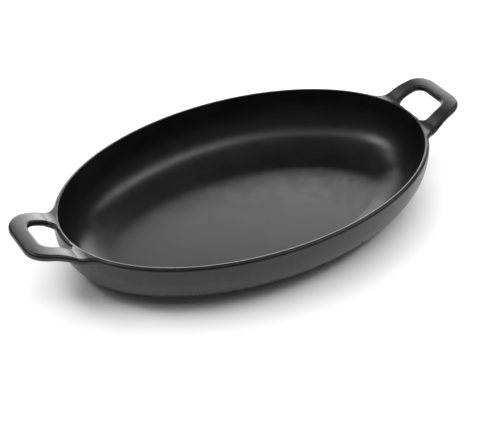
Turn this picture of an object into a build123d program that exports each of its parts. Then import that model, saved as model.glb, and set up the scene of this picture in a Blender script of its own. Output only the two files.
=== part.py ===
from build123d import *
import math
import os

# Oval gratin dish: one heavy casting with a flat floor, a steep wall that rolls round into the
# floor, a thin rim and a loop handle at each end, flush with the rim and rising away from it.
# X runs through both handles, Z is up, and the origin is the middle of the resting face.

# Bowl of the dish, over the outside: an upright wall that rolls round into the base
rim_length = 324.0
rim_width = 207.0
rim_height = 48.0
upright_wall = 8.0

# Thicknesses of the casting
rim_thickness = 3.6
floor_thickness = 4.5
enamel_thickness = 0.4

# Inside of the dish
inner_draft = 3.0
inner_radius_step = 5.0

# Rim from the outside in: a rounded edge, a narrow crest, a slope down to the inside
rim_outer_round = 2.6
rim_crest_width = 0.1
rim_slope_drop = 0.25
rim_inner_round = 0.3

# Loop handle, seen from above
handle_reach = 34.0
handle_root_width = 67.0
handle_tip_width = 53.5
handle_corner_radius = 18.5
flare_radius = 14.5

# Finger opening in the handle, seen from above
opening_reach = 21.0
opening_root_width = 36.5
opening_tip_width = 31.0
opening_corner_radius = 8.0
opening_root_radius = 5.5

# Handle seen from the side: it leaves the rim level, swings up, goes over a crest to the tip
# and thickens on the way
root_thickness = 5.0
tip_thickness = 6.4
handle_bottom_round = 2.2
level_inset = 7.0
swing_angle = 36.0
swing_radius = 14.0
tip_droop = 4.5

# Seat of each handle foot in the rim, and the small amounts that keep cuts clean
seat_depth = 3.0
seat_margin = 2.0
toe_inset = 0.05
overrun = 5.0

base_radius = rim_height - upright_wall
inner_radius = base_radius - inner_radius_step
half_length = rim_length / 2
half_width = rim_width / 2
crest_inset = rim_outer_round + rim_crest_width
slope_width = rim_thickness - crest_inset
handle_end = half_length + handle_reach
opening_end = half_length + opening_reach
handle_underside = rim_height - root_thickness
level_end = half_length - level_inset
enamel_top = rim_height - rim_outer_round


def oval(inset, level):
    """The outline of the rim, drawn in by inset, at one height."""
    return Pos(0, 0, level) * Ellipse(half_length - inset, half_width - inset)


def oval_block(inset, low, high):
    return extrude(oval(inset, low), high - low)


def lowest_edges(shape):
    return shape.edges().group_by(Axis.Z)[0]


def cavity(grow):
    """The inside of the dish, every wall moved out by grow."""
    low = floor_thickness - grow
    high = rim_height + overrun
    lean = inner_draft / (rim_height - floor_thickness)
    foot_inset = rim_thickness - grow + inner_draft
    mouth_inset = foot_inset - lean * (high - floor_thickness)
    block = loft([oval(foot_inset, low), oval(mouth_inset, high)], ruled=True)
    return fillet(lowest_edges(block), inner_radius + grow)


def rim_wedge():
    """What the inward slope of the rim takes away, and somewhat more above and inside it."""
    low = oval(crest_inset + 2 * slope_width, rim_height - 2 * rim_slope_drop)
    high = oval(crest_inset - slope_width, rim_height + rim_slope_drop)
    return loft([low, high], ruled=True)


def oval_point(turn):
    """A point of the rim outline, with the direction straight out of it."""
    place = Vector(half_length * math.cos(turn), half_width * math.sin(turn))
    out = Vector(half_width * math.cos(turn), half_length * math.sin(turn)).normalized()
    return place, out


def side_line(root_width, tip_width, tip):
    """One side of a tapering outline: a point at the rim's end, and the direction to its left."""
    start = Vector(half_length, root_width / 2)
    along = (Vector(tip, tip_width / 2) - start).normalized()
    return start, Vector(-along.Y, along.X)


def root_arc(radius, start, left, above):
    """An arc that touches the rim outline and one side line, from the rim to the line.

    It lies above the line, as the flare does, or below it, as the opening's corner does.
    """
    sign = 1 if above else -1

    def miss(turn):
        place, out = oval_point(turn)
        return (place + out * radius - start).dot(left) - sign * radius

    low, high = 0.0, math.pi / 2
    for _ in range(60):
        middle = (low + high) / 2
        if miss(middle) < 0:
            low = middle
        else:
            high = middle
    place, out = oval_point(low)
    centre = place + out * radius
    foot = centre - left * (sign * radius)
    half_way = centre - (out + left * sign).normalized() * radius
    return low, ThreePointArc(place, half_way, foot), foot


def loop_outline(radius, root_width, tip_width, tip, corner_radius, above):
    """The free edge of a loop at the right-hand end, and where it leaves the rim."""
    start, left = side_line(root_width, tip_width, tip)
    turn, arc, foot = root_arc(radius, start, left, above)
    half_tip = tip_width / 2
    run = FilletPolyline(
        (foot.X, foot.Y),
        (tip, half_tip),
        (tip, -half_tip),
        (foot.X, -foot.Y),
        radius=corner_radius,
    )
    return turn, [arc, run, mirror(arc, Plane.XZ)]


def rim_arc(start_turn, end_turn):
    return EllipticalCenterArc(
        (0, 0),
        half_length,
        half_width,
        start_angle=math.degrees(start_turn),
        arc_size=math.degrees(end_turn - start_turn),
    )


flare_turn, handle_edge = loop_outline(
    flare_radius, handle_root_width, handle_tip_width, handle_end, handle_corner_radius, True
)
corner_turn, opening_edge = loop_outline(
    opening_root_radius,
    opening_root_width,
    opening_tip_width,
    opening_end,
    opening_corner_radius,
    False,
)


def plan_face():
    """The whole dish from above: the oval with both handles flowing out of it."""
    far_rim = rim_arc(flare_turn, math.pi - flare_turn)
    near_rim = mirror(far_rim, Plane.XZ)
    left_edge = [mirror(piece, Plane.YZ) for piece in handle_edge]
    return make_face([far_rim, near_rim, *handle_edge, *left_edge])


def opening_face():
    """The finger opening at the right-hand end, bounded by the rim on its inner side."""
    return make_face([rim_arc(-corner_turn, corner_turn), *opening_edge])


def side_face():
    """The strip that rim and handles follow, seen from the side.

    Its top runs level, swings up and goes over a crest. Its underside does the same, thicker
    towards the tip, and both end past the tip, where the outline from above cuts them off.
    """
    steep = math.radians(swing_angle)
    droop = math.radians(tip_droop)
    low_centre = Vector(level_end, rim_height + swing_radius)
    shoulder_run = handle_end - level_end - swing_radius * math.sin(steep)
    crest_radius = shoulder_run / (math.sin(steep) + math.sin(droop))
    past_tip = droop + overrun / crest_radius
    join_way = Vector(math.sin(steep), -math.cos(steep))
    crest_centre = low_centre + join_way * (swing_radius + crest_radius)

    def swing_arc(depth):
        turns = [0, steep / 2, steep]
        ways = [Vector(math.sin(turn), -math.cos(turn)) for turn in turns]
        return ThreePointArc(*[low_centre + way * (swing_radius + depth) for way in ways])

    def tip_point(depth):
        return crest_centre + Vector(math.sin(past_tip), math.cos(past_tip)) * (crest_radius - depth)

    uphill = Vector(math.cos(steep), math.sin(steep))
    upper = swing_arc(0)
    lower = swing_arc(root_thickness)
    right = [
        upper,
        TangentArc(upper @ 1, tip_point(0), tangent=uphill),
        Line(tip_point(0), tip_point(tip_thickness)),
        TangentArc(lower @ 1, tip_point(tip_thickness), tangent=uphill),
        lower,
    ]
    left = [mirror(piece, Plane.YZ) for piece in right]
    across = [Line(mirror(piece, Plane.YZ) @ 0, piece @ 0) for piece in (upper, lower)]
    return Plane.XZ * make_face([*right, *left, *across])


def border_edges(shape, direction):
    """The edges where upright sides meet the faces that look up (1) or down (-1)."""
    facing = [f for f in shape.faces() if f.normal_at().Z * direction > 0.5]
    sides = [f for f in shape.faces() if abs(f.normal_at().Z) < 0.5]
    side_edges = [e for f in sides for e in f.edges()]
    return [e for f in facing for e in f.edges() if any(e.is_same(s) for s in side_edges)]


def end_zone(reach, half_span):
    """A block over the right-hand end of the dish, as far out as reach."""
    block = Box(reach, 2 * half_span, handle_end, align=(Align.MIN, Align.CENTER, Align.MIN))
    return Pos(0, 0, handle_underside) * block


# Rim band and both handles as one rounded plate
strip = extrude(side_face(), half_width + overrun, both=True)
plate = strip & extrude(plan_face(), rim_height + handle_end)
opening = extrude(opening_face(), rim_height + handle_end)
plate = plate - opening - mirror(opening, Plane.YZ)
plate = fillet(border_edges(plate, 1), rim_outer_round)
plate = fillet(border_edges(plate, -1), handle_bottom_round)
above_wedge = oval_block(crest_inset - slope_width, rim_height + rim_slope_drop, rim_height + handle_end)
plate = plate - (rim_wedge() + above_wedge)

# Handle: the end of that plate, from two feet seated in the rim outwards
feet_outside = oval_point(flare_turn)[0].Y + seat_margin
feet_inside = oval_point(corner_turn)[0].Y - seat_margin
seat = end_zone(handle_end + overrun, feet_outside)
seat = seat - end_zone(half_length + opening_reach / 2, feet_inside)
seat = seat - oval_block(seat_depth, 0, rim_height + handle_end)
toe_height = handle_underside + (root_thickness - rim_outer_round + handle_bottom_round) / 2
toe = oval_block(toe_inset, handle_underside, toe_height)
right_handle = (plate + toe) & seat
left_handle = mirror(right_handle, Plane.YZ)

# Dish body: the oval casting, hollowed, with a seat for each handle
shell = fillet(lowest_edges(oval_block(0, 0, rim_height)), base_radius)
shell = fillet(shell.edges().group_by(Axis.Z)[-1], rim_outer_round)
shell = shell - cavity(0) - rim_wedge()
loops = shell.edges().filter_by(lambda e: e.is_closed).group_by(Axis.Z)
shell = fillet(loops[-2], rim_inner_round)
coat_space = cavity(enamel_thickness) & oval_block(0, 0, enamel_top)
dish_body = shell - coat_space - seat - mirror(seat, Plane.YZ)

# Enamel lining of the inside, let in flush under the rim
enamel_lining = coat_space - cavity(0)

nodes = {
    "dish_body": dish_body,
    "right_handle": right_handle,
    "left_handle": left_handle,
    "enamel_lining": enamel_lining,
}

os.makedirs("parts", exist_ok=True)
for name, shape in nodes.items():
    solids = shape.solids()
    print(name, len(solids), "solids", round(sum(s.volume for s in solids)), "mm3")
    export_step(solids[0] if len(solids) == 1 else shape, f"parts/{name}.step")
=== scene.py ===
# %% [markdown]
# # A cast iron gratin dish in satin black enamel
#
# This notebook dresses a gratin dish. Its form comes packed from a CAD model: an oval dish body,
# a loop handle at each end and a thin enamel lining. What is left to do here is what makes it
# look real: how the enamel takes the light, and the studio that the dish stands in.

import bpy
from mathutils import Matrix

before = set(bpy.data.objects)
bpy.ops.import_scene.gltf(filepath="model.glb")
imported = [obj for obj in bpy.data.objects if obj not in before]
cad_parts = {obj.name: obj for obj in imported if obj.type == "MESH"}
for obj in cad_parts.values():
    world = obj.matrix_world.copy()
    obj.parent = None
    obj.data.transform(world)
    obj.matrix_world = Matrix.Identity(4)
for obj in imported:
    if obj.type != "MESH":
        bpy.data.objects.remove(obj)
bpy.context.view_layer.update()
print("nodes:", ", ".join(sorted(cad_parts)))

# %% Modules
import math

import bpy
from mathutils import Matrix, Vector

# %% [markdown]
# ## The camera
#
# The camera stands in front of the dish and to its left, and looks down at it at nearly 38
# degrees. A long lens keeps the oval rim from swelling towards the viewer. The place, the
# target and the lens were worked out from the outline of the dish, so that it falls where it
# should, and the roll is the quarter of a degree by which the real camera seems to tilt.

# %% Camera
camera_place = Vector((-0.41685, -0.67256, 0.61888))
camera_target = Vector((-0.02558, -0.04371, 0.046))
camera_roll = math.radians(0.239)
lens_mm = 88.854
sensor_mm = 36.0

back = (camera_place - camera_target).normalized()
right = Vector((0, 0, 1)).cross(back).normalized()
up = back.cross(right)
rolled_right = right * math.cos(camera_roll) + up * math.sin(camera_roll)
rolled_up = up * math.cos(camera_roll) - right * math.sin(camera_roll)

camera_data = bpy.data.cameras.new("camera")
camera_data.lens = lens_mm
camera_data.sensor_width = sensor_mm
camera = bpy.data.objects.new("camera", camera_data)
bpy.context.collection.objects.link(camera)
turn = Matrix((rolled_right, rolled_up, back)).transposed()
camera.matrix_world = Matrix.Translation(camera_place) @ turn.to_4x4()
bpy.context.scene.camera = camera
print("camera distance:", round((camera_place - camera_target).length, 3), "m")

# %% [markdown]
# ## Two helpers
#
# Colours are written as sRGB hex values, the way a colour picker shows them. Shaders add and
# multiply light, so they need linear values, and one function turns one into the other. The
# second helper adds a node to a material, gives its settings and fills or links its inputs.


# %% Helpers for colours and nodes
def linear(hex_colour):
    """An sRGB hex colour as linear red, green, blue and an opaque alpha."""
    channels = []
    for start in (1, 3, 5):
        share = int(hex_colour[start:start + 2], 16) / 255
        low = share / 12.92
        high = ((share + 0.055) / 1.055) ** 2.4
        channels.append(low if share <= 0.04045 else high)
    return (*channels, 1.0)


def add_node(tree, kind, inputs=(), **settings):
    """Adds a node, sets its properties, and fills each input with a value or links a socket."""
    node = tree.nodes.new(kind)
    for name, value in settings.items():
        setattr(node, name, value)
    for name, value in dict(inputs).items():
        if isinstance(value, bpy.types.NodeSocket):
            tree.links.new(value, node.inputs[name])
        else:
            node.inputs[name].default_value = value
    return node


# %% [markdown]
# ## The enamel
#
# Enamel is glass. A slip of ground glass and black oxides is sprayed on the rough casting and
# fired until it melts and flows. A satin black enamel is fired so that tiny crystals stay in
# its skin: they spread the highlight to a soft band instead of a mirror image. Underneath, the
# sand-cast iron is never quite flat, and the glass pulls into shallow waves, the orange peel,
# as it sets.
#
# So the relief of each enamel here has three scales: waves of the casting, orange peel, and a
# grain finer than a millimetre. Wider clouds vary its tone and its gloss a little. Object
# coordinates are metres in the CAD frame, so a pattern's scale is one over its length in
# metres, and the patterns run on from the body into the handles without a break.

# %% Enamel on iron
metre_per_mm = 0.001
tone_cloud_mm = 22
gloss_cloud_mm = 9
casting_wave_mm = 15
casting_wave_depth_mm = 0.012
orange_peel_mm = 2.5
grain_mm = 0.9
grain_depth_mm = 0.0006


def waves(tree, place, length_mm, detail):
    """A noise whose waves are about length_mm long."""
    return add_node(
        tree,
        "ShaderNodeTexNoise",
        {"Vector": place, "Scale": 1 / (length_mm * metre_per_mm), "Detail": detail},
        noise_dimensions="3D",
    ).outputs["Fac"]


def spread(tree, value, low, high, out_low, out_high):
    """Maps a value's range from low to high onto another range."""
    return add_node(
        tree,
        "ShaderNodeMapRange",
        {"Value": value, "From Min": low, "From Max": high, "To Min": out_low, "To Max": out_high},
        interpolation_type="SMOOTHSTEP",
    ).outputs["Result"]


def bump(tree, height, depth_mm, below=None):
    """Turns a height from 0 to 1 into relief depth_mm deep, on top of the relief below."""
    inputs = {"Height": height, "Distance": depth_mm * metre_per_mm, "Strength": 1.0}
    if below:
        inputs["Normal"] = below
    return add_node(tree, "ShaderNodeBump", inputs).outputs["Normal"]


def satin_enamel(name, dark, light, smooth, rough, peel_depth_mm):
    """A satin black enamel: two near-black tones in clouds, over orange peel and grain."""
    material = bpy.data.materials.new(name)
    material.use_nodes = True
    tree = material.node_tree
    shader = tree.nodes["Principled BSDF"]
    place = add_node(tree, "ShaderNodeTexCoord").outputs["Object"]

    clouds = waves(tree, place, tone_cloud_mm, 3)
    tone = add_node(
        tree,
        "ShaderNodeMix",
        {"Factor": spread(tree, clouds, 0.35, 0.65, 0, 1), "A": linear(dark), "B": linear(light)},
        data_type="RGBA",
    )
    tree.links.new(tone.outputs["Result"], shader.inputs["Base Color"])

    patchy = spread(tree, waves(tree, place, gloss_cloud_mm, 2), 0.3, 0.7, smooth, rough)
    tree.links.new(patchy, shader.inputs["Roughness"])

    relief = bump(tree, waves(tree, place, casting_wave_mm, 1), casting_wave_depth_mm)
    relief = bump(tree, waves(tree, place, orange_peel_mm, 1), peel_depth_mm, relief)
    relief = bump(tree, waves(tree, place, grain_mm, 2), grain_depth_mm, relief)
    tree.links.new(relief, shader.inputs["Normal"])

    shader.inputs["IOR"].default_value = 1.5
    shader.inputs["Metallic"].default_value = 0.0
    return material


outer_enamel = satin_enamel("satin_black_enamel_outside", "#0D0D0E", "#121213", 0.27, 0.33, 0.003)
inner_enamel = satin_enamel("matt_black_enamel_inside", "#0F0F10", "#141415", 0.28, 0.33, 0.002)

# %% Put the enamel on the nodes
for node_name in ("dish_body", "right_handle", "left_handle"):
    node_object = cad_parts[node_name]
    node_object.data.materials.clear()
    node_object.data.materials.append(outer_enamel)
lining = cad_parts["enamel_lining"]
lining.data.materials.clear()
lining.data.materials.append(inner_enamel)

# %% [markdown]
# ## The studio
#
# Black satin glass shows little of its own colour: what the eye sees is the studio mirrored in
# it, blurred. So the lights are placed by what each one has to draw. Four narrow strips run
# round the dish, from overhead down to both sides, and together they draw the thin line of
# light round the inside corner. The strip to the left is the strongest. A low panel behind the
# dish lights the flat floor, the rim and the handles, and a long glow under it lights what
# faces the backdrop. The room behind the camera stays dim, which keeps the far wall black.
#
# The white table needs more light than that, so a large overhead fill lights it. That fill is
# hidden from glossy rays, because a real one would be flagged off so as not to veil the enamel.

# %% Table
floor_half = 6.0
corners = [(-1, -1), (1, -1), (1, 1), (-1, 1)]
floor_mesh = bpy.data.meshes.new("floor")
floor_mesh.from_pydata([(x * floor_half, y * floor_half, 0) for x, y in corners], [], [(0, 1, 2, 3)])
floor = bpy.data.objects.new("floor", floor_mesh)
bpy.context.collection.objects.link(floor)
paper = bpy.data.materials.new("white_paper")
paper.use_nodes = True
paper_shader = paper.node_tree.nodes["Principled BSDF"]
paper_shader.inputs["Base Color"].default_value = linear("#F4F4F4")
paper_shader.inputs["Roughness"].default_value = 0.9
paper_shader.inputs["Specular IOR Level"].default_value = 0.0
floor_mesh.materials.append(paper)

# %% Softboxes
view_turn = math.atan2(-back.x, -back.y)


def direction(azimuth, elevation):
    """A unit vector. Azimuth 0 points away from the camera and 90 to its right."""
    turned = view_turn + math.radians(azimuth)
    raised = math.radians(elevation)
    level = Vector((math.sin(turned), math.cos(turned), 0))
    return level * math.cos(raised) + Vector((0, 0, math.sin(raised)))


def softbox(name, start, end, distance, depth, radiance, glossy=True):
    """A strip of light between two directions, depth metres wide, that faces the dish."""
    ends = [direction(*start) * distance, direction(*end) * distance]
    middle = (ends[0] + ends[1]) / 2
    facing = middle.normalized()
    along = ends[1] - ends[0]
    along = along - facing * along.dot(facing)
    across = facing.cross(along.normalized())
    lamp = bpy.data.lights.new(name, "AREA")
    lamp.shape = "RECTANGLE"
    lamp.size = along.length
    lamp.size_y = depth
    lamp.energy = radiance * math.pi * lamp.size * lamp.size_y
    holder = bpy.data.objects.new(name, lamp)
    bpy.context.collection.objects.link(holder)
    axes = Matrix((along.normalized(), across, facing)).transposed()
    holder.matrix_world = Matrix.Translation(middle) @ axes.to_4x4()
    holder.visible_camera = False
    holder.visible_glossy = glossy
    print(name, "is", round(lamp.size, 2), "by", round(depth, 2), "m")


near_metres = 2.0
strip_metres = 0.34
softbox("overhead_strip", (125, 58.6), (-125, 58.6), near_metres, strip_metres, 1.8)
softbox("right_strip", (122, 58), (68, 35), near_metres, strip_metres, 4.6)
softbox("left_strip", (-122, 58), (-82, 43), near_metres, strip_metres, 8.4)
softbox("left_rear_strip", (-80, 44), (-35, 44), near_metres, 0.40, 2.2)
softbox("low_back_panel", (-28, 19.3), (32, 19.3), near_metres, 1.01, 4.4)
softbox("backdrop_glow", (-45, 5), (45, 5), 2.4, 0.30, 4.0)
softbox("overhead_fill", (-90, 50), (90, 50), 3.2, 3.4, 1.7, glossy=False)

# %% Room
# The camera sees white paper all round. Every other ray sees the dim room.
room_strength = 0.12
room = bpy.data.worlds.new("studio")
bpy.context.scene.world = room
room.use_nodes = True
room_tree = room.node_tree
dim = room_tree.nodes["Background"]
dim.inputs["Color"].default_value = linear("#FFFFFF")
dim.inputs["Strength"].default_value = room_strength
bright = add_node(room_tree, "ShaderNodeBackground", {"Color": linear("#FFFFFF"), "Strength": 1.0})
seen = add_node(room_tree, "ShaderNodeLightPath").outputs["Is Camera Ray"]
chosen = add_node(room_tree, "ShaderNodeMixShader", {"Fac": seen})
room_tree.links.new(dim.outputs["Background"], chosen.inputs[1])
room_tree.links.new(bright.outputs["Background"], chosen.inputs[2])
room_tree.links.new(chosen.outputs["Shader"], room_tree.nodes["World Output"].inputs["Surface"])

bpy.context.scene.view_settings.view_transform = "Standard"
